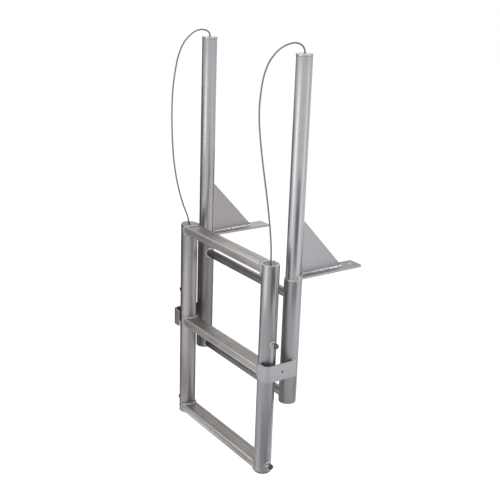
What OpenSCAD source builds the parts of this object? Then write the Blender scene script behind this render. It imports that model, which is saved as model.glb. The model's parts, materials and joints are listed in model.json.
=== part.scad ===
// Lifting dock ladder. Two handrail uprights are bolted to the dock by deck
// brackets, and a three-step ladder slides up and down in guide straps in front
// of them. Deck level is z = 0. The origin is on the underside of the left
// deck plate, x runs to the right upright and y runs back over the dock.

/* [Uprights] */
// Distance between the axes of the two uprights
upright_spacing = 457.2; // [380:0.1:600]
// Outside diameter of a handrail tube
handrail_d = 44.45; // [38:0.05:50]
// Wall of a handrail tube
handrail_wall = 3.2; // [2:0.1:5]
// Height of the handrail tubes above the deck
handrail_rise = 606; // [450:1:1000]
// Length of handrail seated inside its sleeve
handrail_seat = 100; // [60:1:160]
// Wall of a sleeve tube
sleeve_wall = 3; // [2:0.1:5]
// Radial clearance of the handrail in its sleeve
sleeve_fit = 0.175; // [0.1:0.005:0.3]
// Length of the sleeves
sleeve_len = 376; // [340:1:480]
// Gap between a sleeve's top and the deck plate
sleeve_gap = 2.5; // [2:0.5:10]
// Thickness of a handrail cap
cap_t = 4; // [2:0.5:8]
// How far a cap stands out past its tube
cap_lip = 1; // [0:0.1:3]
// Height of the seam between a cap and its tube
cap_seam = 1; // [0.5:0.1:2]
// Depth of that seam below the tube's outside
cap_seam_deep = 1.2; // [0.5:0.1:2]
// Length of a handrail cap inside its tube
cap_stub = 10; // [6:1:20]

/* [Cross tubes] */
// Outside diameter of the cross tubes
cross_d = 25.4; // [18:0.1:34]
// Wall of the cross tubes
cross_wall = 2.4; // [1.5:0.1:4]
// Depth of the upper cross tube's axis below the deck
upper_cross_drop = 55; // [30:1:90]
// Height of the lower cross tube's axis above the sleeve ends
lower_cross_rise = 15; // [13:1:60]

/* [Deck brackets] */
// Width of a deck plate
plate_w = 50.8; // [46:0.1:80]
// Thickness of a deck plate
plate_t = 6.35; // [4:0.05:10]
// Reach of a deck plate behind the upright's axis
plate_len = 228; // [190:1:320]
// Radius of a deck plate's corners at its free end
plate_corner = 4; // [1:0.5:15]
// Diameter of a deck plate's bolt hole
bolt_hole_d = 11; // [8:0.5:14]
// Distance of the bolt hole from the plate's end
bolt_hole_inset = 23; // [15:1:40]
// Height of a gusset on its handrail
gusset_h = 153; // [100:1:220]
// Length of a gusset along its deck plate
gusset_len = 144; // [100:1:150]
// Thickness of a gusset
gusset_t = 6.35; // [4:0.05:10]
// Clipped tips of a gusset
gusset_tip = 6; // [3:0.5:12]

/* [Guide straps] */
// Height of a guide strap
strap_h = 50.8; // [30:0.1:70]
// Thickness of a guide strap
strap_t = 4.75; // [3:0.05:8]
// Depth of the strap tops below the deck
strap_drop = 239; // [180:1:260]
// Inside radius of a strap's bend
strap_bend = 13.5; // [8:0.5:16]
// How far a strap's lip reaches past the ladder rail's outboard side
strap_lap = 21.5; // [12:0.5:25]
// Length of strap behind the sleeve's widest line
strap_tail = 3; // [1:0.5:8]
// Clearance between a rail and its strap's lip
front_gap = 3; // [2.5:0.5:10]
// Clearance between a rail and the side of its strap
side_gap = 12.7; // [8:0.1:16]
// Diameter of the small hole in a strap's side
strap_hole_d = 6.5; // [4:0.5:10]

/* [Ladder] */
// Outside diameter of the ladder rails
rail_d = 50.8; // [44:0.1:60]
// Wall of the ladder rails
rail_wall = 3.2; // [2:0.1:5]
// Clearance between the rails and the sleeves behind them
back_gap = 19; // [15:0.1:40]
// Height of the rail tops above the deck
rail_rise = 50; // [20:1:90]
// Distance from one step to the next
step_pitch = 304.8; // [290:0.1:330]
// Depth of a step, front to back
step_depth = 47.6; // [42:0.1:49]
// Height of a step
step_h = 25.4; // [20:0.1:32]
// Wall of the step extrusion
step_wall = 2.6; // [2:0.1:4]
// Radius of a step's long edges
step_edge = 4; // [2:0.5:6]
// Number of grooves along the top of a step
groove_count = 11; // [5:1:15]
// Width of one tread groove
groove_w = 1.6; // [1:0.1:2]
// Depth of one tread groove
groove_deep = 0.9; // [0.5:0.1:1.3]
// Width of the grooves along a step's front and back
face_groove_w = 1.2; // [0.8:0.1:2]
// Depth of the grooves along a step's front and back
face_groove_deep = 0.8; // [0.4:0.1:1.2]
// Depth of the top step below the rail tops
top_step_drop = 3.5; // [1:0.5:20]
// Length of rail below the bottom step
rail_tail = 1; // [1:0.5:30]
// Thickness of a foot plug's rim
foot_rim = 3.5; // [1.5:0.5:8]
// Length of a foot plug inside its rail
foot_stub = 14; // [8:1:25]

/* [Stops] */
// Diameter of the stop spacers
stop_d = 14; // [12:0.5:20]
// How far the stop spacers stand out from the rails
stop_reach = 12.5; // [9:0.1:12.5]
// Diameter of the stop bolts
stop_bolt_d = 9.5; // [6:0.5:9.5]
// Width of a stop bolt's head across its flats
stop_head = 14.3; // [10:0.1:15.5]
// Height of a stop bolt's head
stop_head_t = 6; // [3:0.5:8]
// Length of a stop bolt inside its rail
stop_bolt_end = 5; // [2:0.5:10]
// Height of the upper stop bolts' heads above the strap tops
drop_travel = 50; // [30:1:80]
// Height of the lower stop bolts above the rail ends
lower_stop_rise = 26; // [20:1:60]

/* [Cables] */
// Diameter of the cables
cable_d = 4.76; // [3:0.01:6]
// Diameter of the fittings that hold the cables
ferrule_d = 7.5; // [7:0.5:12]
// Height of a fitting on its handrail cap
cap_ferrule_h = 2; // [2:0.5:6]
// Diameter of the anchor pins inside the rails
anchor_d = 8; // [5:0.5:10]
// Depth of the anchor fitting's top below the rail tops
anchor_drop = 24; // [15:1:40]
// Length of an anchor fitting
anchor_ferrule_h = 20; // [12:1:30]

/* [Hidden] */
$fn = 96;

bright = "gainsboro";
matte = "darkgray";
steel = "dimgray";
black = "black";

cut = 1;            // how far a cutting shape runs past what it cuts
weld_gap = 0.1;     // gap left at a welded joint
press_gap = 0.1;    // gap round a plug in its tube
cable_sides = 8;

handrail_r = handrail_d / 2;
sleeve_bore_r = handrail_r + sleeve_fit;
sleeve_r = sleeve_bore_r + sleeve_wall;
rail_r = rail_d / 2;
cross_r = cross_d / 2;

// The uprights' axes stand on this line, so that the origin lies midway along
// the free underside of a deck plate.
upright_y = -(plate_len + sleeve_r) / 2;
rail_inset = side_gap + rail_r - sleeve_r;      // rail axis inboard of the upright
rail_offset = sleeve_r + back_gap + rail_r;     // rail axis in front of the upright
strap_front = rail_offset + rail_r + front_gap; // inner face of a strap's lip
strap_top = -strap_drop;
top_step_z = rail_rise - top_step_drop;
rail_bottom = top_step_z - 2 * step_pitch - step_h - rail_tail;
rail_len = rail_rise - rail_bottom;
upper_stop_z = strap_top + drop_travel + stop_head / 2;
lower_stop_z = rail_bottom + lower_stop_rise;
groove_pitch = (step_depth - 2 * step_edge) / groove_count;
anchor_top = rail_rise - anchor_drop;

// Cable routes from the cap's fitting to the anchor's fitting, upright at both ends:
// [inboard of the upright, y from the upright's axis, z above the deck]
left_route = [
    [0, 0, 613], [0, 0, 618], [0.3, -8, 627], [1, -28, 632], [2, -50, 628],
    [3, -72, 615], [3.5, -92, 594], [4, -108, 562], [5, -119, 520], [5.5, -127, 468],
    [6.5, -130.5, 414], [7.5, -131, 360], [8.5, -129, 306], [9.5, -124.5, 252],
    [10.5, -116, 198], [11.5, -104, 148], [12, -90, 106], [12.7, -77, 74],
    [12.7, -69.8, 42], [12.7, -69.8, 26]
];
right_route = [
    [0, 0, 613], [0, 0, 619], [0.3, -9, 631], [1, -28, 638], [2, -50, 635.5],
    [2.5, -72, 627], [3, -92, 612], [4, -110, 589], [4.5, -123, 556], [5, -130, 513],
    [6, -131.5, 466], [7, -127, 418], [8, -119, 368], [9, -108.5, 313],
    [10, -97, 256], [11, -86, 198], [12, -77, 143], [12.7, -71.2, 93],
    [12.7, -69.8, 58], [12.7, -69.8, 26]
];

// Puts a piece modelled for the right-hand upright, with outboard along +x, on
// the left (-1) or the right (1) upright.
module upright(side) {
    translate([side < 0 ? 0 : upright_spacing, upright_y, 0])
        mirror([side < 0 ? 1 : 0, 0, 0])
            children();
}

// The same for a piece modelled about a ladder rail's axis.
module on_rail(side) {
    upright(side)
        translate([-rail_inset, -rail_offset, 0])
            children();
}

// Puts a piece that spans the uprights midway between their axes.
module midway(y, z) {
    translate([upright_spacing / 2, upright_y + y, z])
        children();
}

module tube(outer_r, inner_r, length) {
    difference() {
        cylinder(r = outer_r, h = length);
        translate([0, 0, -cut])
            cylinder(r = inner_r, h = length + 2 * cut);
    }
}

module handrail(side) {
    color(bright)
        upright(side)
            translate([0, 0, -handrail_seat])
                tube(handrail_r, handrail_r - handrail_wall, handrail_rise + handrail_seat);
}

// Disc over a handrail's end, a recessed seam below it, a stub inside the tube
// and the fitting that the cable leaves by.
module handrail_cap(side) {
    edge = 1;
    stub_r = handrail_r - handrail_wall - press_gap;
    seam_r = handrail_r - cap_seam_deep;
    lip_r = handrail_r + cap_lip;
    top = cap_seam + cap_t;
    color(bright)
        upright(side)
            translate([0, 0, handrail_rise])
                rotate_extrude()
                    polygon([
                        [0, -cap_stub], [stub_r, -cap_stub], [stub_r, 0],
                        [seam_r, 0], [seam_r, cap_seam], [lip_r, cap_seam],
                        [lip_r, top - edge], [lip_r - edge, top], [ferrule_d / 2, top],
                        [ferrule_d / 2, top + cap_ferrule_h], [0, top + cap_ferrule_h]
                    ]);
}

module sleeve(side) {
    color(matte)
        upright(side)
            translate([0, 0, -sleeve_gap - sleeve_len])
                tube(sleeve_r, sleeve_bore_r, sleeve_len);
}

// A tube from sleeve to sleeve, its ends coped to the sleeves.
module cross_tube(z) {
    color(matte)
        difference() {
            midway(0, z)
                rotate([0, 90, 0])
                    translate([0, 0, -upright_spacing / 2])
                        tube(cross_r, cross_r - cross_wall, upright_spacing);
            for (side = [-1, 1])
                upright(side)
                    translate([0, 0, z - cross_d])
                        cylinder(r = sleeve_r + weld_gap, h = 2 * cross_d);
        }
}

// Flat bar on the dock, notched round the handrail at its front end.
module deck_plate(side) {
    color(matte)
        upright(side)
            difference() {
                translate([-plate_w / 2, 0, 0])
                    linear_extrude(plate_t) {
                        square([plate_w, plate_len - plate_corner]);
                        translate([plate_corner, 0])
                            square([plate_w - 2 * plate_corner, plate_len]);
                        for (x = [plate_corner, plate_w - plate_corner])
                            translate([x, plate_len - plate_corner])
                                circle(r = plate_corner);
                    }
                translate([0, 0, -cut])
                    cylinder(r = handrail_r + weld_gap, h = plate_t + 2 * cut);
                translate([0, plate_len - bolt_hole_inset, -cut])
                    cylinder(d = bolt_hole_d, h = plate_t + 2 * cut);
            }
}

// Triangular web from the back of the handrail down to the deck plate.
module gusset(side) {
    foot = handrail_r + weld_gap;
    color(matte)
        upright(side)
            translate([gusset_t / 2, foot, plate_t])
                rotate([90, 0, -90])
                    linear_extrude(gusset_t)
                        polygon([
                            [0, 0], [-gusset_len, 0], [-gusset_len, gusset_tip],
                            [-gusset_tip, gusset_h], [0, gusset_h]
                        ]);
}

// Outline of a strap from above: a flat along the sleeve's outboard side, a
// quarter bend and a lip across the front of the ladder rail.
module strap_outline() {
    outer = strap_bend + strap_t;
    corner = [sleeve_r - strap_bend, -(strap_front - strap_bend)];
    lip_end = -rail_inset + rail_r - strap_lap;
    translate([sleeve_r, corner[1]])
        square([strap_t, strap_tail - corner[1]]);
    translate([lip_end, -strap_front - strap_t])
        square([corner[0] - lip_end, strap_t]);
    intersection() {
        translate(corner)
            difference() {
                circle(r = outer);
                circle(r = strap_bend);
            }
        translate([corner[0], corner[1] - outer])
            square(outer);
    }
}

module guide_strap(side) {
    color(matte)
        upright(side)
            difference() {
                translate([0, 0, strap_top - strap_h])
                    linear_extrude(strap_h)
                        strap_outline();
                translate([sleeve_r - cut, -(sleeve_r + back_gap), strap_top - strap_h / 2])
                    rotate([0, 90, 0])
                        cylinder(d = strap_hole_d, h = strap_t + 2 * cut);
            }
}

module rail(side) {
    color(matte)
        difference() {
            on_rail(side)
                translate([0, 0, rail_bottom])
                    tube(rail_r, rail_r - rail_wall, rail_len);
            stop_holes(side);
        }
}

module stop_holes(side) {
    on_rail(side)
        for (z = [upper_stop_z, lower_stop_z])
            translate([0, 0, z])
                rotate([0, 90, 0])
                    cylinder(d = stop_bolt_d, h = 2 * rail_d);
}

// Rectangle from its lower left corner, its corners rounded.
module rounded_rectangle(width, height, r) {
    translate([r, 0])
        square([width - 2 * r, height]);
    translate([0, r])
        square([width, height - 2 * r]);
    for (x = [r, width - r], y = [r, height - r])
        translate([x, y])
            circle(r = r);
}

// End outline of the step extrusion, its top face at zero, seen along the
// ladder's width: a box with rounded long edges, a grooved tread and two
// grooves along the front and back.
module step_outline() {
    difference() {
        translate([-step_depth / 2, -step_h])
            rounded_rectangle(step_depth, step_h, step_edge);
        translate([-step_depth / 2 + step_wall, -step_h + step_wall])
            square([step_depth - 2 * step_wall, step_h - 2 * step_wall - groove_deep]);
        for (i = [0 : groove_count - 1])
            translate([(i - (groove_count - 1) / 2) * groove_pitch - groove_w / 2, -groove_deep])
                square([groove_w, groove_deep + cut]);
        for (side = [-1, 1], drop = [step_h / 4, step_h / 2])
            translate([side * step_depth / 2, -drop])
                square([2 * face_groove_deep, face_groove_w], center = true);
    }
}

// One step, its ends coped to the rails.
module step(index) {
    z = top_step_z - index * step_pitch;
    length = upright_spacing - 2 * rail_inset;
    color(matte)
        difference() {
            midway(-rail_offset, z)
                rotate([90, 0, 90])
                    translate([0, 0, -length / 2])
                        linear_extrude(length)
                            step_outline();
            for (side = [-1, 1])
                on_rail(side)
                    translate([0, 0, z - 2 * step_h])
                        cylinder(r = rail_r + weld_gap, h = 3 * step_h);
        }
}

// Plug in the end of a rail, with a rim that the ladder stands on.
module rail_foot(side) {
    edge = 1.2;
    stub_r = rail_r - rail_wall - press_gap;
    color(black)
        on_rail(side)
            translate([0, 0, rail_bottom])
                rotate_extrude()
                    polygon([
                        [0, -foot_rim], [rail_r - edge, -foot_rim], [rail_r, -foot_rim + edge],
                        [rail_r, 0], [stub_r, 0], [stub_r, foot_stub], [0, foot_stub]
                    ]);
}

// Spacer between a rail and the head of its stop bolt, coped to the rail.
module stop(side, z) {
    color(steel)
        on_rail(side)
            difference() {
                translate([0, 0, z])
                    rotate([0, 90, 0])
                        cylinder(d = stop_d, h = rail_r + stop_reach);
                translate([0, 0, z - stop_d])
                    cylinder(r = rail_r + weld_gap, h = 2 * stop_d);
                translate([0, 0, z])
                    rotate([0, 90, 0])
                        cylinder(d = stop_bolt_d, h = rail_r + stop_reach + cut);
            }
}

// Hexagon bolt through a stop spacer into the rail. Its head meets the edge of
// the strap at the end of the ladder's travel.
module stop_bolt(side, z) {
    shank_start = rail_r - rail_wall - stop_bolt_end;
    color(steel)
        on_rail(side)
            translate([0, 0, z])
                rotate([0, 90, 0]) {
                    translate([0, 0, shank_start])
                        cylinder(d = stop_bolt_d - 2 * press_gap, h = rail_r + stop_reach - shank_start);
                    translate([0, 0, rail_r + stop_reach])
                        rotate([0, 0, 30])
                            cylinder(d = stop_head / cos(30), h = stop_head_t, $fn = 6);
                }
}

// Fitting on the cable's lower end, held by a pin across the rail's bore.
module cable_anchor(side) {
    color(steel)
        on_rail(side)
            translate([0, 0, anchor_top - anchor_ferrule_h - anchor_d / 2]) {
                cylinder(d = ferrule_d, h = anchor_ferrule_h + anchor_d / 2);
                intersection() {
                    translate([-rail_r, 0, 0])
                        rotate([0, 90, 0])
                            cylinder(d = anchor_d, h = rail_d);
                    translate([0, 0, -anchor_d])
                        cylinder(r = rail_r - rail_wall - press_gap, h = 2 * anchor_d);
                }
            }
}

// Point on a smooth curve through the route, u counted in route points.
function route_point(route, u) =
    let (
        last = len(route) - 1,
        i = min(floor(u), last - 1),
        t = u - i,
        a = route[max(i - 1, 0)],
        b = route[i],
        c = route[i + 1],
        d = route[min(i + 2, last)]
    )
    0.5 * (2 * b + t * (c - a) + t * t * (2 * a - 5 * b + 4 * c - d)
        + t * t * t * (3 * b - a - 3 * c + d));

function unit(v) = v / norm(v);

// Ring of points round the route at u, square to it.
function route_ring(route, u, r) =
    let (
        step = 0.05,
        last = len(route) - 1,
        ahead = u > 0 ? min(u + step, last) : 1,
        behind = u < last ? max(u - step, 0) : last - 1,
        along = unit(route_point(route, ahead) - route_point(route, behind)),
        flat = unit([1, 0, 0] - along * along[0]),
        across = cross(along, flat),
        centre = route_point(route, u)
    )
    [for (k = [0 : cable_sides - 1])
        let (angle = 360 * k / cable_sides)
        centre + r * (cos(angle) * flat + sin(angle) * across)];

module cable_tube(route) {
    rings = 2 * (len(route) - 1);
    points = [for (i = [0 : rings]) each route_ring(route, i / 2, cable_d / 2)];
    sides = [
        for (i = [0 : rings - 1], k = [0 : cable_sides - 1])
            let (
                a = i * cable_sides + k,
                b = i * cable_sides + (k + 1) % cable_sides
            )
            each [[a, a + cable_sides, b], [b, a + cable_sides, b + cable_sides]]
    ];
    start = [for (k = [0 : cable_sides - 1]) k];
    end = [for (k = [cable_sides - 1 : -1 : 0]) rings * cable_sides + k];
    polyhedron(points, concat(sides, [start, end]));
}

module cable(side) {
    route = side < 0 ? left_route : right_route;
    color(steel)
        upright(side)
            mirror([1, 0, 0])
                cable_tube(route);
}

handrail(-1);  // left_handrail
handrail(1);  // right_handrail
handrail_cap(-1);  // left_handrail_cap
handrail_cap(1);  // right_handrail_cap
sleeve(-1);  // left_sleeve
sleeve(1);  // right_sleeve
cross_tube(-upper_cross_drop);  // upper_cross_tube
cross_tube(lower_cross_rise - sleeve_len - sleeve_gap);  // lower_cross_tube
deck_plate(-1);  // left_deck_plate
deck_plate(1);  // right_deck_plate
gusset(-1);  // left_gusset
gusset(1);  // right_gusset
guide_strap(-1);  // left_guide_strap
guide_strap(1);  // right_guide_strap
rail(-1);  // left_rail
rail(1);  // right_rail
step(0);  // top_step
step(1);  // middle_step
step(2);  // bottom_step
rail_foot(-1);  // left_rail_foot
rail_foot(1);  // right_rail_foot
stop(-1, upper_stop_z);  // left_upper_stop
stop(1, upper_stop_z);  // right_upper_stop
stop(-1, lower_stop_z);  // left_lower_stop
stop(1, lower_stop_z);  // right_lower_stop
stop_bolt(-1, upper_stop_z);  // left_upper_stop_bolt
stop_bolt(1, upper_stop_z);  // right_upper_stop_bolt
stop_bolt(-1, lower_stop_z);  // left_lower_stop_bolt
stop_bolt(1, lower_stop_z);  // right_lower_stop_bolt
cable_anchor(-1);  // left_cable_anchor
cable_anchor(1);  // right_cable_anchor
cable(-1);  // left_cable
cable(1);  // right_cable
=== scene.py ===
"""Looks of the dock ladder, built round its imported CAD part.

Places of the camera, lamps and cards are in metres. The sizes of the ladder
itself are in millimetres and are scaled by MM where meshes are made.
"""

import json
import math

import bpy
from mathutils import Matrix, Vector


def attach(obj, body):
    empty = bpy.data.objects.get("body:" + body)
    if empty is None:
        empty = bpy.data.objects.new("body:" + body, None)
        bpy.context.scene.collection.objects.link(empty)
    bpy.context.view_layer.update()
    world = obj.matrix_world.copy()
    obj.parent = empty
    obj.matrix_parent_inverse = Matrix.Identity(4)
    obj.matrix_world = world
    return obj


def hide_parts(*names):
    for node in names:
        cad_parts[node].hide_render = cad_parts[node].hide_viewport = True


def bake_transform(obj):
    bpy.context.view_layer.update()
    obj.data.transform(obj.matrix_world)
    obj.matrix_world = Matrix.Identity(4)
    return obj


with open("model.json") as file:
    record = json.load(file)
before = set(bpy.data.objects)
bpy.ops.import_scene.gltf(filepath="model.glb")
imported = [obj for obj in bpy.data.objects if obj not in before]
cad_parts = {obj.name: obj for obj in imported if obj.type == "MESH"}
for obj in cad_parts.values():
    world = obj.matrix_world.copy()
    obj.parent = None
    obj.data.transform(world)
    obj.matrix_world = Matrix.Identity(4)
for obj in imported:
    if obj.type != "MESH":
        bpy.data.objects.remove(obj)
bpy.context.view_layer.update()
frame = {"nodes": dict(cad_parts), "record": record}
nodes = frame["nodes"]

MM = 0.001

# The camera stands at the photograph's viewpoint.
CAMERA_AT = (2.317317, -1.582567, 0.857715)
CAMERA_FORWARD = (-0.776841, 0.545531, -0.314506)
CAMERA_UP = (-0.277197, 0.152196, 0.948682)
CAMERA_LENS = 65.2
SENSOR = 36.0
CLIP_NEAR = 0.05
CLIP_FAR = 60

# The studio: where the ladder's middle stands, the floor and the even light.
MIDDLE = (0.2286, -0.15)
FLOOR = -0.655
FLOOR_SIZE = 60
FLOOR_GLOW = 0.6
WORLD_LIGHT = 0.5

# The part's own sizes, in millimetres.
UPRIGHT_SPACING = 457.2
UPRIGHT_Y = -126.7
HANDRAIL_R = 22.225
SLEEVE_R = 25.4
SLEEVE_TOP = -2.5
CROSS_R = 12.7
CROSS_HEIGHTS = {"upper_cross_tube": -55.0, "lower_cross_tube": -363.5}
PLATE_T = 6.35
GUSSET_H = 153.0
GUSSET_LEN = 144.0
STRAP_TOP = -239.0
STRAP_H = 50.8
STRAP_TAIL = 3.0
RAIL_R = 25.4
RAIL_BORE_R = 22.2
HOLE_R = 5.5
HOLE_BACK = 205.0
RAIL_INSET = 12.7
RAIL_OFFSET = 69.8
STEP_DEPTH = 47.6
STEP_H = 25.4
STEP_EDGE = 4.0
STEP_TOPS = {"top_step": 46.5, "middle_step": -258.3, "bottom_step": -563.1}
STOP_R = 7.0
STOP_HEIGHTS = {"upper_stop": -181.85, "lower_stop": -563.5}
CABLE_DIAMETER = 4.76
SIDES = {"left": -1, "right": 1}

# Points that each cable follows: inboard of its upright, y from the upright's
# axis, and height above the deck, in millimetres.
ROUTES = {
    "left": [
        (0, 0, 613), (0, 0, 618), (0.3, -8, 627), (1, -28, 632), (2, -50, 628),
        (3, -72, 615), (3.5, -92, 594), (4, -108, 562), (5, -119, 520), (5.5, -127, 468),
        (6.5, -130.5, 414), (7.5, -131, 360), (8.5, -129, 306), (9.5, -124.5, 252),
        (10.5, -116, 198), (11.5, -104, 148), (12, -90, 106), (12.7, -77, 74),
        (12.7, -69.8, 42), (12.7, -69.8, 26),
    ],
    "right": [
        (0, 0, 613), (0, 0, 619), (0.3, -9, 631), (1, -28, 638), (2, -50, 635.5),
        (2.5, -72, 627), (3, -92, 612), (4, -110, 589), (4.5, -123, 556), (5, -130, 513),
        (6, -131.5, 466), (7, -127, 418), (8, -119, 368), (9, -108.5, 313),
        (10, -97, 256), (11, -86, 198), (12, -77, 143), (12.7, -71.2, 93),
        (12.7, -69.8, 58), (12.7, -69.8, 26),
    ],
}

# The wire rope: strands, points on each strand's outside, the share of that
# outside which they cover, and lengths in millimetres.
STRANDS = 6
STRAND_POINTS = 4
STRAND_COVER = 0.92
LAY_LENGTH = 26.0
CABLE_STEP = 1.6
ROUTE_STEPS = 24

# Weld beads: the radius of each kind, in millimetres.
STEP_BEAD = 4.4
STOP_BEAD = 2.2
CROSS_BEAD = 3.0
SEAM_BEAD = 1.8
GUSSET_BACK_BEAD = 2.8
GUSSET_FOOT_BEAD = 4.3
PLATE_BEAD = 2.8
STRAP_BEAD = 2.6

# Form of the beads: lengths in millimetres, a count of sides, and shares of a
# bead's radius.
BEAD_STEP = 0.8
BEAD_RIPPLE = 3.2
OUTLINE_STEP = 2.0
BEAD_LIFT = 0.3
BEAD_OUT = 0.5
RING_OUT = 1.0
STEP_BEAD_OUT = 0.4
BEAD_SIDES = 8
RIPPLE_DEPTH = 0.16
BEAD_END = 0.45
GUSSET_BACK_LUMP = 0.1
GUSSET_FOOT_LUMP = 0.35

# Slow swells of a bead: share of its radius, turn in each millimetre and start.
# Lumps come where the two lump waves meet: turn in each millimetre and start.
SWELLS = [(0.07, 0.37, 0), (0.05, 0.11, 1)]
LUMP_WAVES = [(0.71, 0), (0.29, 0.6)]

# A direction that no bead runs along, where its rings of points start.
RING_START = (0.31, 0.87, 0.38)

# A gusset's beads turn round its tip: distance from its middle plane, distance
# past the tip and rise off the metal, in millimetres.
TIP_TURN = [(-4, -1, 0), (-2.6, 1, 0.5), (0, 1.6, 0.6), (2.6, 1, 0.5), (4, -1, 0)]
GUSSET_BACK_START = 9.0
GUSSET_FOOT_START = 2.0

# Names of the beads that get a lighter copy of the weld metal: painted light and painted glints on
# them.
PAINTED_LIGHT_BEADS = ("gusset", "plate", "stop", "seam", "cross")

# Rounding of the hard edges by the end of a piece's name, in millimetres. A
# rounded edge has its piece's own material, or on a gusset the second one: painted shade.
EDGE_WIDTHS = {
    "_handrail": 0.9, "_sleeve": 0.9, "_rail": 0.9, "_gusset": 2.0,
    "_guide_strap": 0.7, "_deck_plate": 0.7, "_stop": 0.6, "_bolt": 0.6,
}
EDGE_ANGLE = 35
EDGE_SEGMENTS = 2
JOIN_DISTANCE = 0.01
OWN_MATERIAL = -1
SECOND_MATERIAL = 1

# Faces that get a material of their own, painted light in a rail's bore and a
# bright rim that is partly a painted highlight: how far a bore's faces may lie from
# its radius, and how level and how near the top a rim's faces are.
BORE_REACH = 0.3
RIM_LEVEL = 0.9
RIM_DEPTH = 1.0

# Patterns in the metals: noise scales, how far draw lines are stretched, and the
# height of their relief in millimetres.
LINE_SCALE = 900
BAND_SCALE = 190
CLOUD_SCALE = 14
PLASTIC_SCALE = 300
DRAW_STRETCH = 0.006
FINE_RELIEF = 0.2
CAST_RELIEF = 0.3
ALONG_X = 0
ALONG_Z = 2

# Soft lamps: name, angle round the ladder, distance, height, the point that it
# faces, its width and height, power, and whether reflections see it.
LAMPS = [
    ("left_softbox", -55, 1.9, 0.41, (*MIDDLE, 0.41), 0.95, 2.0, 13.5, False),
    ("right_softbox", 57, 0.816, 0.2, (0.4572, -0.1267, 0.2), 0.3, 1.16, 1.15, False),
    ("top_softbox", 0, 0.6, 2.4, (*MIDDLE, 0), 1.6, 1.6, 16, True),
]

# Upright cards seen only by reflections: name, angle round the ladder,
# distance, width, lowest and highest edge, and brightness.
CARDS = [
    ("front_low_card", 15, 0.6, 0.45, -0.65, -0.13, 0.85),
    ("front_card", 26, 0.412, 0.2, -0.09, 0.14, 0.24),
    ("front_high_card", 26, 0.412, 0.2, 0.14, 0.25, 0.4),
    ("left_front_card", -24, 0.382, 0.25, -0.65, -0.11, 0.95),
    ("left_glow_card", -55, 1.9, 0.95, -0.587, 1.0, 2.95),
    ("right_glow_card", 57, 0.816, 0.3, -0.38, 0.78, 1.75),
    ("left_strip_card", -78, 0.515, 0.34, -0.1, 0.16, 0.8),
    ("left_glow_low_card", -69, 0.663, 0.25, -0.65, -0.15, 1.35),
    ("left_edge_card", -134, 0.52, 0.35, -0.65, 0.1, 0.08),
    ("right_low_card", 80, 0.45, 0.4, -0.65, -0.45, 0.35),
    ("left_side_card", -110, 1.0, 0.5, -0.65, 0.45, 0.3),
    ("back_left_card", -143, 0.8, 0.5, -0.65, 1.2, 0.1),
    ("back_right_card", 152, 0.65, 0.35, -0.65, 0.16, 0.1),
    ("back_low_card", 180, 0.9, 0.5, -0.65, -0.1, 0.75),
    ("back_card", 180, 0.9, 0.5, -0.1, 0.15, 1.2),
    ("back_plate_card", 180, 0.9, 0.5, 0.15, 0.25, 0.7),
    ("back_high_card", 180, 0.9, 0.5, 0.25, 0.8, 1.8),
]

# Cards lying just over the floor: name, brightness and corners, each to the
# camera's right of the ladder's middle and towards the camera.
FLOOR_CARDS = [
    ("floor_left_card", 0.1, [(-0.22, -0.17), (-0.95, -0.4), (-0.32, -1.04), (-0.19, -0.3)]),
    ("floor_back_card", 0.15, [(-0.02, -0.21), (0.65, -0.53), (0.0, -1.04), (-0.13, -0.3)]),
    ("floor_middle_card", 0.2, [(0.0, 0.09), (-0.49, -0.49), (-0.2, -0.6), (0.06, 0.05)]),
    ("floor_side_card", 0.6, [(-0.62, -0.35), (-0.62, 0.02), (-0.06, 0.2), (-0.02, 0.12)]),
    ("floor_front_card", 0.6, [(-0.01, 0.28), (-0.45, 0.65), (0.76, 0.38), (0.2, 0.23)]),
]
FLOOR_CARD_LIFT = 0.002


def make_camera():
    """Camera at the photograph's viewpoint, with no shift."""
    forward = Vector(CAMERA_FORWARD).normalized()
    up = Vector(CAMERA_UP)
    up = (up - forward * up.dot(forward)).normalized()
    right = forward.cross(up)
    data = bpy.data.cameras.new("camera")
    data.sensor_width = SENSOR
    data.lens = CAMERA_LENS
    data.clip_start = CLIP_NEAR
    data.clip_end = CLIP_FAR
    camera = bpy.data.objects.new("camera", data)
    bpy.context.scene.collection.objects.link(camera)
    turn = Matrix((right, up, -forward)).transposed().to_4x4()
    camera.matrix_world = Matrix.Translation(Vector(CAMERA_AT)) @ turn
    bpy.context.scene.camera = camera


def link_mesh(name, points, faces, smooth=True):
    """A mesh object made of points in metres."""
    mesh = bpy.data.meshes.new(name)
    mesh.from_pydata([tuple(p) for p in points], [], faces)
    mesh.validate()
    if smooth:
        mesh.shade_smooth()
    made = bpy.data.objects.new(name, mesh)
    bpy.context.scene.collection.objects.link(made)
    return made


def at_upright(side, x, y, z):
    """A point in the part's frame, given from an upright's axis with x outboard."""
    x0 = 0.0 if side < 0 else UPRIGHT_SPACING
    return Vector((x0 + side * x, UPRIGHT_Y + y, z))


def at_rail(side, x, y, z):
    """A point in the part's frame, given from a ladder rail's axis with x outboard."""
    return at_upright(side, x - RAIL_INSET, y - RAIL_OFFSET, z)


def smooth_path(points, per_span):
    """The part's own smooth curve through the points, in short straight steps."""
    path = []
    last = len(points) - 1
    for i in range(last):
        a, b = points[max(i - 1, 0)], points[i]
        c, d = points[i + 1], points[min(i + 2, last)]
        for k in range(per_span):
            t = k / per_span
            path.append(0.5 * (2 * b + t * (c - a) + t * t * (2 * a - 5 * b + 4 * c - d)
                               + t ** 3 * (3 * b - a - 3 * c + d)))
    path.append(points[-1])
    return path


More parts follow.
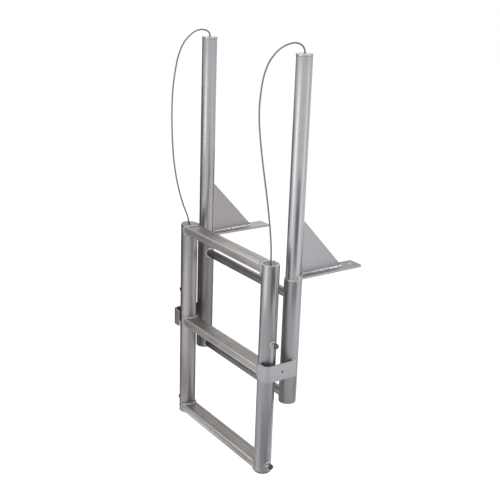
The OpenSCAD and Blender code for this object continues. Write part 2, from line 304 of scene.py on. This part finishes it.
def even_path(path, step):
    """The same path in steps of one length, and its whole length."""
    total = sum((b - a).length for a, b in zip(path, path[1:]))
    count = max(2, round(total / step))
    spaced, walked, i = [path[0]], 0.0, 0
    for k in range(1, count):
        target = total * k / count
        while walked + (path[i + 1] - path[i]).length < target:
            walked += (path[i + 1] - path[i]).length
            i += 1
        span = path[i + 1] - path[i]
        spaced.append(path[i] + span * ((target - walked) / span.length))
    spaced.append(path[-1])
    return spaced, total


def strand_outline():
    """Outline of the rope's strands seen along the rope, in millimetres."""
    rope = CABLE_DIAMETER / 2
    strand = rope / (1 + 1 / math.sin(math.pi / STRANDS))
    centre = rope - strand
    reach = math.pi / 2 + math.pi / STRANDS
    outline = []
    for s in range(STRANDS):
        about = 2 * math.pi * s / STRANDS
        for k in range(STRAND_POINTS):
            turn = about + reach * (2 * (k + 0.5) / STRAND_POINTS - 1) * STRAND_COVER
            x = centre * math.cos(about) + strand * math.cos(turn)
            y = centre * math.sin(about) + strand * math.sin(turn)
            outline.append((x, y))
    return outline


def rope_mesh(name, path, length):
    """Strands twisted round a path in metres, closed at both ends."""
    outline = strand_outline()
    ring = len(outline)
    last = len(path) - 1
    verts, faces = [], []
    across = Vector((1, 0, 0))
    for i, centre in enumerate(path):
        along = path[min(i + 1, last)] - path[max(i - 1, 0)]
        if i in (0, last):
            along = Vector((0, 0, along.z))
        along = along.normalized()
        across = (across - along * across.dot(along)).normalized()
        other = along.cross(across)
        twist = 2 * math.pi * (length * i / last) / (LAY_LENGTH * MM)
        c, s = math.cos(twist), math.sin(twist)
        for x, y in outline:
            u, v = (x * c - y * s) * MM, (x * s + y * c) * MM
            verts.append(centre + across * u + other * v)
        if i:
            for k in range(ring):
                a, b = (i - 1) * ring + k, (i - 1) * ring + (k + 1) % ring
                faces.append((a, b, b + ring, a + ring))
    faces.append(tuple(range(ring - 1, -1, -1)))
    faces.append(tuple(len(verts) - ring + k for k in range(ring)))
    return link_mesh(name, verts, faces)


def make_cable(word, side):
    """Wire rope from a handrail's cap into a ladder rail."""
    points = [at_upright(side, -x, y, z) * MM for x, y, z in ROUTES[word]]
    path, length = even_path(smooth_path(points, ROUTE_STEPS), CABLE_STEP * MM)
    cable = rope_mesh(f"{word}_wire_rope", path, length)
    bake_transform(cable)
    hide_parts(f"{word}_cable")
    return cable


def bead_swell(walked, lump):
    """Share of its radius that a bead has at a length along it, from ripples and lumps."""
    ripple = 1 - RIPPLE_DEPTH * (1 - abs(math.sin(math.pi * walked / BEAD_RIPPLE)))
    wander = 1 + sum(share * math.sin(walked * turn + start) for share, turn, start in SWELLS)
    wander += lump * math.prod(math.sin(walked * turn + start) for turn, start in LUMP_WAVES)
    return ripple * wander


def make_bead(name, points, radius, body, closed=False, lump=0.0):
    """Weld bead with small ripples along a path given in millimetres."""
    points = [Vector(p) for p in points]
    if closed:
        points.append(points[0])
    path = even_path(points, BEAD_STEP)[0]
    if closed:
        path = path[:-1]
    count = len(path)
    verts, faces = [], []
    across = Vector(RING_START)
    for i, centre in enumerate(path):
        before = path[i - 1] if i or closed else path[0]
        after = path[(i + 1) % count] if i < count - 1 or closed else path[-1]
        along = (after - before).normalized()
        across = (across - along * across.dot(along)).normalized()
        other = along.cross(across)
        r = radius * bead_swell(i * BEAD_STEP, lump)
        if not closed and i in (0, count - 1):
            r *= BEAD_END
        for k in range(BEAD_SIDES):
            a = 2 * math.pi * k / BEAD_SIDES
            verts.append((centre + (across * math.cos(a) + other * math.sin(a)) * r) * MM)
    for i in range(count if closed else count - 1):
        for k in range(BEAD_SIDES):
            a, b = i * BEAD_SIDES + k, i * BEAD_SIDES + (k + 1) % BEAD_SIDES
            c, d = (a + BEAD_SIDES) % len(verts), (b + BEAD_SIDES) % len(verts)
            faces.append((a, b, d, c))
    if not closed:
        faces.append(tuple(range(BEAD_SIDES - 1, -1, -1)))
        faces.append(tuple(len(verts) - BEAD_SIDES + k for k in range(BEAD_SIDES)))
    bead = link_mesh(name, verts, faces)
    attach(bead, body)
    return bead


def step_outline():
    """Outline of a step's end for its bead, as points about OUTLINE_STEP apart."""
    half, low, high = STEP_DEPTH / 2 + STEP_BEAD_OUT, -STEP_H - STEP_BEAD_OUT, STEP_BEAD_OUT
    r = STEP_EDGE
    corners = [(half - r, high - r, 0), (-half + r, high - r, 90),
               (-half + r, low + r, 180), (half - r, low + r, 270)]
    outline = []
    for cy, cz, start in corners:
        for turn in range(0, 91, 15):
            a = math.radians(start + turn)
            outline.append((cy + r * math.cos(a), cz + r * math.sin(a)))
    fine = []
    for (y0, z0), (y1, z1) in zip(outline, outline[1:] + outline[:1]):
        pieces = max(1, round(math.hypot(y1 - y0, z1 - z0) / OUTLINE_STEP))
        for k in range(pieces):
            t = k / pieces
            fine.append((y0 + (y1 - y0) * t, z0 + (z1 - z0) * t))
    return fine


def step_weld(word, side, step, top):
    """Bead where a step's end meets its round rail."""
    reach = RAIL_R + BEAD_OUT
    path = [at_rail(side, -math.sqrt(max(reach ** 2 - y ** 2, 1)), y, top + z)
            for y, z in step_outline()]
    return make_bead(f"{word}_{step}_weld", path, STEP_BEAD, "ladder", closed=True)


def round_weld_path(place_at, side, direction, post_r, tube_r, height):
    """The line where a round tube square to a post meets it."""
    path = []
    for turn in range(0, 360, 10):
        a = math.radians(turn)
        y, z = tube_r * math.cos(a), tube_r * math.sin(a)
        path.append(place_at(side, direction * math.sqrt(post_r ** 2 - y ** 2), y, height + z))
    return path


def stop_weld(word, side, stop, height):
    """Bead round a stop's spacer on its rail."""
    path = round_weld_path(at_rail, side, 1, RAIL_R + BEAD_LIFT, STOP_R + BEAD_OUT, height)
    return make_bead(f"{word}_{stop}_weld", path, STOP_BEAD, "ladder", closed=True)


def cross_weld(word, side, tube, height):
    """Bead round the end of a cross tube on its sleeve."""
    path = round_weld_path(at_upright, side, -1, SLEEVE_R + BEAD_LIFT, CROSS_R + BEAD_OUT, height)
    return make_bead(f"{word}_{tube}_weld", path, CROSS_BEAD, "deck_frame", closed=True)


def seam_weld(word, side):
    """Bead round a handrail where it goes into its sleeve."""
    r, height = HANDRAIL_R + RING_OUT, SLEEVE_TOP + BEAD_LIFT
    turns = [math.radians(t) for t in range(0, 360, 10)]
    path = [at_upright(side, r * math.cos(a), r * math.sin(a), height) for a in turns]
    return make_bead(f"{word}_seam_weld", path, SEAM_BEAD, "deck_frame", closed=True)


def gusset_welds(word, side):
    """Beads along both faces of a gusset, on its handrail and on its plate."""
    back, seat = HANDRAIL_R + BEAD_LIFT, PLATE_T + 0.6
    top, end = PLATE_T + GUSSET_H, HANDRAIL_R + GUSSET_LEN
    wide = TIP_TURN[-1][0]
    up = [(-wide, back, GUSSET_BACK_START)]
    up += [(x, back + rise, top + past) for x, past, rise in TIP_TURN]
    up.append((wide, back, GUSSET_BACK_START))
    along = [(-wide, back + GUSSET_FOOT_START, seat)]
    along += [(x, end + past, seat) for x, past, rise in TIP_TURN]
    along.append((wide, back + GUSSET_FOOT_START, seat))
    return [
        make_bead(f"{word}_gusset_handrail_weld", [at_upright(side, *p) for p in up],
                  GUSSET_BACK_BEAD, "deck_frame", lump=GUSSET_BACK_LUMP),
        make_bead(f"{word}_gusset_plate_weld", [at_upright(side, *p) for p in along],
                  GUSSET_FOOT_BEAD, "deck_frame", lump=GUSSET_FOOT_LUMP),
    ]


def plate_weld(word, side):
    """Bead round the back of a handrail on its deck plate."""
    r, front = HANDRAIL_R + RING_OUT, -0.4
    low, high = 1.0, PLATE_T - 0.6
    path = [(r, front, low), (r, front, high)]
    for turn in range(0, 181, 10):
        a = math.radians(turn)
        path.append((r * math.cos(a), r * math.sin(a), PLATE_T + BEAD_OUT))
    path += [(-r, front, high), (-r, front, low)]
    return make_bead(f"{word}_plate_weld", [at_upright(side, *p) for p in path],
                     PLATE_BEAD, "deck_frame")


def strap_weld(word, side):
    """Bead round the patch where a guide strap lies on its sleeve."""
    low, high = STRAP_TOP - STRAP_H - BEAD_OUT, STRAP_TOP + BEAD_OUT
    x, proud = SLEEVE_R + 0.2, 0.6
    front, corner = -9.5, 1.5
    outer, inner = x + proud, x - proud
    behind, before = STRAP_TAIL + 0.8, front + 0.5
    path = [(x, front, high), (x, STRAP_TAIL, high), (outer, behind, high - corner),
            (outer, behind, low + corner), (x, STRAP_TAIL, low), (x, front, low),
            (inner, before, low + corner), (inner, before, high - corner)]
    return make_bead(f"{word}_strap_weld", [at_upright(side, *p) for p in path],
                     STRAP_BEAD, "deck_frame", closed=True)


def make_welds():
    """All the weld beads."""
    beads = []
    for word, side in SIDES.items():
        beads += [step_weld(word, side, *step) for step in STEP_TOPS.items()]
        beads += [stop_weld(word, side, *stop) for stop in STOP_HEIGHTS.items()]
        beads += [cross_weld(word, side, *tube) for tube in CROSS_HEIGHTS.items()]
        beads.append(seam_weld(word, side))
        beads += gusset_welds(word, side)
        beads.append(plate_weld(word, side))
        beads.append(strap_weld(word, side))
    return beads


def soften(obj, width, edge_material):
    """Small round on the hard edges of a CAD piece, which may have its own material."""
    join = obj.modifiers.new("join", "WELD")
    join.merge_threshold = JOIN_DISTANCE * MM
    edges = obj.modifiers.new("edges", "BEVEL")
    edges.width = width * MM
    edges.segments = EDGE_SEGMENTS
    edges.limit_method = "ANGLE"
    edges.angle_limit = math.radians(EDGE_ANGLE)
    edges.harden_normals = True
    edges.material = edge_material


def soften_nodes():
    """Rounds the edges that the photograph shows as rounded."""
    for name in nodes:
        for ending, width in EDGE_WIDTHS.items():
            if name.endswith(ending):
                # A gusset's rounded edges get the second material: near-black painted shade.
                material = SECOND_MATERIAL if ending == "_gusset" else OWN_MATERIAL
                soften(nodes[name], width, material)


def new_material(name, colour, roughness, metallic):
    """A material with its node tree and its main shader."""
    material = bpy.data.materials.new(name)
    material.use_nodes = True
    shader = material.node_tree.nodes["Principled BSDF"]
    shader.inputs["Base Color"].default_value = (*colour, 1)
    shader.inputs["Roughness"].default_value = roughness
    shader.inputs["Metallic"].default_value = metallic
    return material, material.node_tree, shader


def add(tree, kind, **settings):
    """Adds a node with its settings."""
    node = tree.nodes.new(kind)
    for key, value in settings.items():
        setattr(node, key, value)
    return node


def coordinates(tree, scale=(1, 1, 1)):
    """Object coordinates stretched by a scale for each axis."""
    source = add(tree, "ShaderNodeTexCoord")
    mapping = add(tree, "ShaderNodeMapping")
    mapping.inputs["Scale"].default_value = scale
    tree.links.new(source.outputs["Object"], mapping.inputs["Vector"])
    return mapping.outputs["Vector"]


def noise(tree, vector, scale, detail=3.0, rough=0.5):
    """A cloudy value between 0 and 1."""
    made = add(tree, "ShaderNodeTexNoise")
    made.inputs["Scale"].default_value = scale
    made.inputs["Detail"].default_value = detail
    made.inputs["Roughness"].default_value = rough
    tree.links.new(vector, made.inputs["Vector"])
    return made.outputs["Fac"]


def ramp(tree, value, low, high, start=0.3, end=0.7):
    """Maps a value between start and end to the span from low to high."""
    made = add(tree, "ShaderNodeMapRange")
    made.inputs["From Min"].default_value = start
    made.inputs["From Max"].default_value = end
    made.inputs["To Min"].default_value = low
    made.inputs["To Max"].default_value = high
    tree.links.new(value, made.inputs["Value"])
    return made.outputs["Result"]


def combined(tree, operation, first, second):
    """Two values put together by one operation."""
    made = add(tree, "ShaderNodeMath", operation=operation)
    tree.links.new(first, made.inputs[0])
    tree.links.new(second, made.inputs[1])
    return made.outputs["Value"]


def mixed_colour(tree, value, first, second):
    """Mix of two colours by a value; the first may come from another node."""
    made = add(tree, "ShaderNodeMix", data_type="RGBA")
    if isinstance(first, tuple):
        made.inputs[6].default_value = (*first, 1)
    else:
        tree.links.new(first, made.inputs[6])
    made.inputs[7].default_value = (*second, 1)
    tree.links.new(value, made.inputs[0])
    return made.outputs[2]


def add_relief(tree, shader, value, strength, height):
    """Bumps a shader's surface by a value, up to a height in millimetres."""
    relief = add(tree, "ShaderNodeBump")
    relief.inputs["Strength"].default_value = strength
    relief.inputs["Distance"].default_value = height * MM
    tree.links.new(value, relief.inputs["Height"])
    tree.links.new(relief.outputs["Normal"], shader.inputs["Normal"])


def scaled(colour, factor):
    """A lighter or darker form of a colour."""
    return tuple(min(1.0, c * factor) for c in colour)


def painted_nose_highlight(tree, tint, bright):
    """Painted highlight: brightens the rounded edge between a step's top and its front."""
    source = add(tree, "ShaderNodeNewGeometry")
    parts = add(tree, "ShaderNodeSeparateXYZ")
    tree.links.new(source.outputs["Normal"], parts.inputs["Vector"])
    forward = combined(tree, "MULTIPLY", parts.outputs["Y"], parts.outputs["Z"])
    return mixed_colour(tree, ramp(tree, forward, 1, 0, -0.45, -0.15),
                        tint, (bright, bright, bright * 0.98))


def drawn_metal(name, colour, roughness, axis, grain=0.12, bump=0.1, mottle=0.06, nose=None,
                banding=0.5, stain=(1.0, 1.0, 1.0)):
    """Metal with fine draw lines along one axis and faint cloudy staining, and a painted highlight on
    a step's nose where nose is given.
    """
    material, tree, shader = new_material(name, colour, roughness, 1.0)
    stretch = [1.0, 1.0, 1.0]
    stretch[axis] = DRAW_STRETCH
    vector = coordinates(tree, stretch)
    lines = noise(tree, vector, LINE_SCALE, 2)
    bands = noise(tree, vector, BAND_SCALE, 2)
    cloud = noise(tree, coordinates(tree), CLOUD_SCALE, 4, 0.55)
    pattern = combined(tree, "ADD", ramp(tree, bands, 0, banding),
                       ramp(tree, cloud, 0, 1 - banding))
    dark = tuple(c * s for c, s in zip(scaled(colour, 1 - mottle), stain))
    tint = mixed_colour(tree, pattern, dark, scaled(colour, 1 + mottle))
    # A painted highlight along the rounded nose of a step.
    if nose:
        tint = painted_nose_highlight(tree, tint, nose)
    tree.links.new(tint, shader.inputs["Base Color"])
    gloss = combined(tree, "ADD", ramp(tree, lines, -grain / 2, grain / 2),
                     ramp(tree, cloud, roughness - 0.04, roughness + 0.04))
    tree.links.new(gloss, shader.inputs["Roughness"])
    add_relief(tree, shader, lines, bump, FINE_RELIEF)
    return material


def cast_metal(name, colour, roughness, metallic=1.0, uneven=0.14, bump=0.2, cells=260):
    """Metal with no draw lines, slightly uneven in cells of one size."""
    material, tree, shader = new_material(name, colour, roughness, metallic)
    cloud = noise(tree, coordinates(tree), cells, 3, 0.6)
    tint = mixed_colour(tree, ramp(tree, cloud, 0, 1), scaled(colour, 1 - uneven),
                        scaled(colour, 1 + uneven))
    tree.links.new(tint, shader.inputs["Base Color"])
    tree.links.new(ramp(tree, cloud, roughness - 0.05, roughness + 0.08),
                   shader.inputs["Roughness"])
    add_relief(tree, shader, cloud, bump, CAST_RELIEF)
    return material


def plastic(name, colour):
    """Matte plastic with a fine grain."""
    material, tree, shader = new_material(name, colour, 0.55, 0.0)
    cloud = noise(tree, coordinates(tree), PLASTIC_SCALE, 3)
    tree.links.new(ramp(tree, cloud, 0.48, 0.62), shader.inputs["Roughness"])
    add_relief(tree, shader, cloud, 0.1, FINE_RELIEF)
    return material


def side_metals(word):
    """Metals of one side's tubes and plates. The left side is a little warmer, and its handrail and
    sleeve are darker: painted shade.
    """
    warm_and_shaded = word == "left"
    tint = (1.035, 0.98, 0.98) if warm_and_shaded else (0.99, 0.98, 1.035)
    polished = (0.38, 0.362, 0.388) if warm_and_shaded else (0.405, 0.4, 0.418)
    gloss = 0.35 if warm_and_shaded else 0.33
    # The left sleeve is far darker than the right one: painted shade on the left, painted light on
    # the right.
    sleeve = scaled(tint, 0.235 if warm_and_shaded else 0.345)
    return {
        "handrail": drawn_metal(f"{word}_handrail_metal", polished, gloss, ALONG_Z, grain=0, bump=0),
        "frame": drawn_metal(f"{word}_sleeve_metal", sleeve, 0.48, ALONG_Z, grain=0.06, bump=0.05),
        "plate": cast_metal(f"{word}_plate_metal", scaled(tint, 0.345), 0.46, uneven=0.07, bump=0.05),
        "strap": cast_metal(f"{word}_strap_metal", scaled(tint, 0.39), 0.42, uneven=0.05, bump=0.05),
        "ladder": drawn_metal(f"{word}_rail_metal", scaled(tint, 0.306), 0.4, ALONG_Z, grain=0.05,
                              bump=0.04),
    }


def shared_metals():
    """Materials that both sides share, by slot or by use."""
    return {
        "frame": drawn_metal("cross_tube_metal", (0.25, 0.247, 0.247), 0.38, ALONG_X, grain=0.06,
                             bump=0.05),
        # The steps carry a painted highlight along their noses.
        "step": drawn_metal("step_metal", (0.45, 0.432, 0.427), 0.42, ALONG_X, mottle=0.42,
                            nose=0.75, banding=0.7, stain=(1.0, 0.95, 0.92)),
        "fastener": drawn_metal("fastener_steel", (0.1, 0.1, 0.1), 0.3, ALONG_X),
        "spacer": cast_metal("spacer_metal", (0.45, 0.45, 0.44), 0.3),
        "cable": drawn_metal("cable_steel", (0.2, 0.2, 0.198), 0.4, ALONG_Z),
        "weld": cast_metal("weld_metal", (0.4, 0.392, 0.389), 0.36),
        # A lighter, patchy copy of the weld metal: painted light and painted glints on some beads.
        "lit_weld": cast_metal("bright_weld_metal", (0.62, 0.61, 0.6), 0.34, uneven=0.4,
                                  cells=120),
        # Near-black painted shade along the gussets' rounded edges.
        "gusset_edge_shade": cast_metal("sheared_edge_metal", (0.08, 0.077, 0.074), 0.5),
        # A lighter, less metallic copy of the rails' aluminium: painted light inside the rails'
        # bores.
        "bore": cast_metal("bore_metal", (0.6, 0.6, 0.6), 0.6, metallic=0.25),
        # Bright cut aluminium; on the rims of the rails and sleeves it is partly a painted highlight.
        "cut": cast_metal("cut_edge_metal", (0.75, 0.74, 0.74), 0.4),
        "plug": plastic("foot_plastic", (0.02, 0.02, 0.021)),
    }


def metal_of(name, slot, by_side, shared):
    """The material of a CAD piece: its side's own one, or else the shared one."""
    if name.endswith("_stop"):
        return shared["spacer"]
    kind = "strap" if name.endswith("_strap") else slot
    return by_side.get(name.split("_")[0], {}).get(kind) or shared[slot]


def line_bore(obj, axis, radius, material):
    """Gives the faces inside an upright bore their own material."""
    obj.data.materials.append(material)
    index = len(obj.data.materials) - 1
    centre = Vector((axis.x, axis.y)) * MM
    reach = (radius + BORE_REACH) * MM
    turn = obj.matrix_world
    for face in obj.data.polygons:
        at = turn @ face.center
        if (Vector((at.x, at.y)) - centre).length < reach:
            face.material_index = index


def bare_rim_and_highlight(obj, material):
    """Gives the cut upper end of a tube its own material: bare cut metal that also carries a painted
    highlight.
    """
    obj.data.materials.append(material)
    index = len(obj.data.materials) - 1
    highest = max(corner[2] for corner in obj.bound_box)
    for face in obj.data.polygons:
        if face.normal.z > RIM_LEVEL and face.center.z > highest - RIM_DEPTH * MM:
            face.material_index = index


def finish_nodes(shared):
    """Gives every CAD piece its material, and its bores, rims and edges theirs: painted light in the
    rails' bores, a rim partly a painted highlight, painted shade on gusset edges.
    """
    by_side = {word: side_metals(word) for word in SIDES}
    for row in frame["record"]["subparts"]:
        name, slot = row["node"], row["material_slot"]
        obj = nodes[name]
        obj.data.materials.clear()
        obj.data.materials.append(metal_of(name, slot, by_side, shared))
    for word, side in SIDES.items():
        # Painted light inside the rails' bores; bright cut metal in the deck plates' holes.
        line_bore(nodes[f"{word}_rail"], at_rail(side, 0, 0, 0), RAIL_BORE_R, shared["bore"])
        line_bore(nodes[f"{word}_deck_plate"], at_upright(side, 0, HOLE_BACK, 0), HOLE_R,
                  shared["cut"])
        # The rims of rails and sleeves: bare cut metal, partly a painted highlight.
        bare_rim_and_highlight(nodes[f"{word}_rail"], shared["cut"])
        bare_rim_and_highlight(nodes[f"{word}_sleeve"], shared["cut"])
        # Painted shade on the gussets' rounded edges.
        nodes[f"{word}_gusset"].data.materials.append(shared["gusset_edge_shade"])


def finish_beads(beads, shared):
    """Gives every weld bead its material, on some a lighter copy with painted light."""
    for bead in beads:
        bright = any(word in bead.name for word in PAINTED_LIGHT_BEADS)
        bead.data.materials.append(shared["lit_weld" if bright else "weld"])


def around(angle, distance, height):
    """A place round the ladder: angle in degrees from the camera, to its right."""
    back = -Vector((CAMERA_FORWARD[0], CAMERA_FORWARD[1], 0)).normalized()
    right = back.cross(Vector((0, 0, -1)))
    a = math.radians(angle)
    at = Vector((*MIDDLE, 0)) + (back * math.cos(a) + right * math.sin(a)) * distance
    return Vector((at.x, at.y, height))


def make_lamp(name, angle, distance, height, target, size_x, size_y, power, reflected):
    """Soft rectangular lamp that the camera doesn't see."""
    data = bpy.data.lights.new(name, "AREA")
    data.shape = "RECTANGLE"
    data.size, data.size_y = size_x, size_y
    data.energy = power
    lamp = bpy.data.objects.new(name, data)
    bpy.context.scene.collection.objects.link(lamp)
    lamp.location = around(angle, distance, height)
    direction = Vector(target) - lamp.location
    lamp.rotation_euler = direction.to_track_quat("-Z", "Y").to_euler()
    lamp.visible_camera = False
    lamp.visible_glossy = reflected


def make_card(name, corners, brightness):
    """Glowing card that only reflections see."""
    card = link_mesh(name, corners, [(0, 1, 2, 3)], smooth=False)
    material = bpy.data.materials.new(name)
    material.use_nodes = True
    tree = material.node_tree
    tree.nodes.clear()
    glow = add(tree, "ShaderNodeEmission")
    glow.inputs["Color"].default_value = (brightness, brightness, brightness, 1)
    out = add(tree, "ShaderNodeOutputMaterial")
    tree.links.new(glow.outputs["Emission"], out.inputs["Surface"])
    card.data.materials.append(material)
    card.visible_camera = False
    card.visible_diffuse = False
    card.visible_shadow = False
    card.visible_transmission = False


def make_upright_card(name, angle, distance, width, low, high, brightness):
    """Upright card that faces the ladder's middle."""
    centre = around(angle, distance, (low + high) / 2)
    facing = (Vector((*MIDDLE, centre.z)) - centre).normalized()
    half = facing.cross(Vector((0, 0, 1))) * (width / 2)
    up = Vector((0, 0, (high - low) / 2))
    make_card(name, [centre - half - up, centre + half - up, centre + half + up,
                     centre - half + up], brightness)


def make_floor_card(name, brightness, corners):
    """Card that lies just over the floor."""
    height = FLOOR + FLOOR_CARD_LIFT
    spots = [around(math.degrees(math.atan2(right, near)), math.hypot(right, near), height)
             for right, near in corners]
    make_card(name, spots, brightness)


def seen_directly(tree):
    """1 where the camera, a reflection or glass sees the surface, else 0."""
    path = add(tree, "ShaderNodeLightPath")
    first = combined(tree, "MAXIMUM", path.outputs["Is Camera Ray"], path.outputs["Is Glossy Ray"])
    return combined(tree, "MAXIMUM", first, path.outputs["Is Transmission Ray"])


def make_world():
    """White where it is seen, with an even light of its own for the rest."""
    world = bpy.data.worlds.new("studio")
    world.use_nodes = True
    tree = world.node_tree
    tree.nodes.clear()
    seen = add(tree, "ShaderNodeBackground")
    seen.inputs["Color"].default_value = (1, 1, 1, 1)
    light = add(tree, "ShaderNodeBackground")
    light.inputs["Color"].default_value = (1, 0.995, 0.985, 1)
    light.inputs["Strength"].default_value = WORLD_LIGHT
    mix = add(tree, "ShaderNodeMixShader")
    out = add(tree, "ShaderNodeOutputWorld")
    tree.links.new(seen_directly(tree), mix.inputs[0])
    tree.links.new(light.outputs[0], mix.inputs[1])
    tree.links.new(seen.outputs[0], mix.inputs[2])
    tree.links.new(mix.outputs[0], out.inputs["Surface"])
    bpy.context.scene.world = world


def make_floor():
    """Pale floor. It glows to white where it is seen and keeps the shadow."""
    s = FLOOR_SIZE / 2
    floor = link_mesh("floor", [(-s, -s, FLOOR), (s, -s, FLOOR), (s, s, FLOOR), (-s, s, FLOOR)],
                      [(0, 1, 2, 3)], smooth=False)
    material = bpy.data.materials.new("floor_white")
    material.use_nodes = True
    tree = material.node_tree
    tree.nodes.clear()
    matte = add(tree, "ShaderNodeBsdfDiffuse")
    matte.inputs["Color"].default_value = (0.85, 0.85, 0.85, 1)
    light = add(tree, "ShaderNodeEmission")
    tree.links.new(seen_directly(tree), light.inputs["Strength"])
    light.inputs["Color"].default_value = (FLOOR_GLOW, FLOOR_GLOW, FLOOR_GLOW, 1)
    both = add(tree, "ShaderNodeAddShader")
    out = add(tree, "ShaderNodeOutputMaterial")
    tree.links.new(matte.outputs[0], both.inputs[0])
    tree.links.new(light.outputs[0], both.inputs[1])
    tree.links.new(both.outputs[0], out.inputs["Surface"])
    floor.data.materials.append(material)


def make_studio():
    """White room with its soft lamps and the cards for the reflections."""
    bpy.context.scene.view_settings.view_transform = "Standard"
    make_world()
    make_floor()
    for lamp in LAMPS:
        make_lamp(*lamp)
    for card in CARDS:
        make_upright_card(*card)
    for card in FLOOR_CARDS:
        make_floor_card(*card)


make_camera()
cables = [make_cable(word, side) for word, side in SIDES.items()]
welds = make_welds()
soften_nodes()
metals = shared_metals()
finish_nodes(metals)
finish_beads(welds, metals)
for cable in cables:
    cable.data.materials.append(metals["cable"])
make_studio()
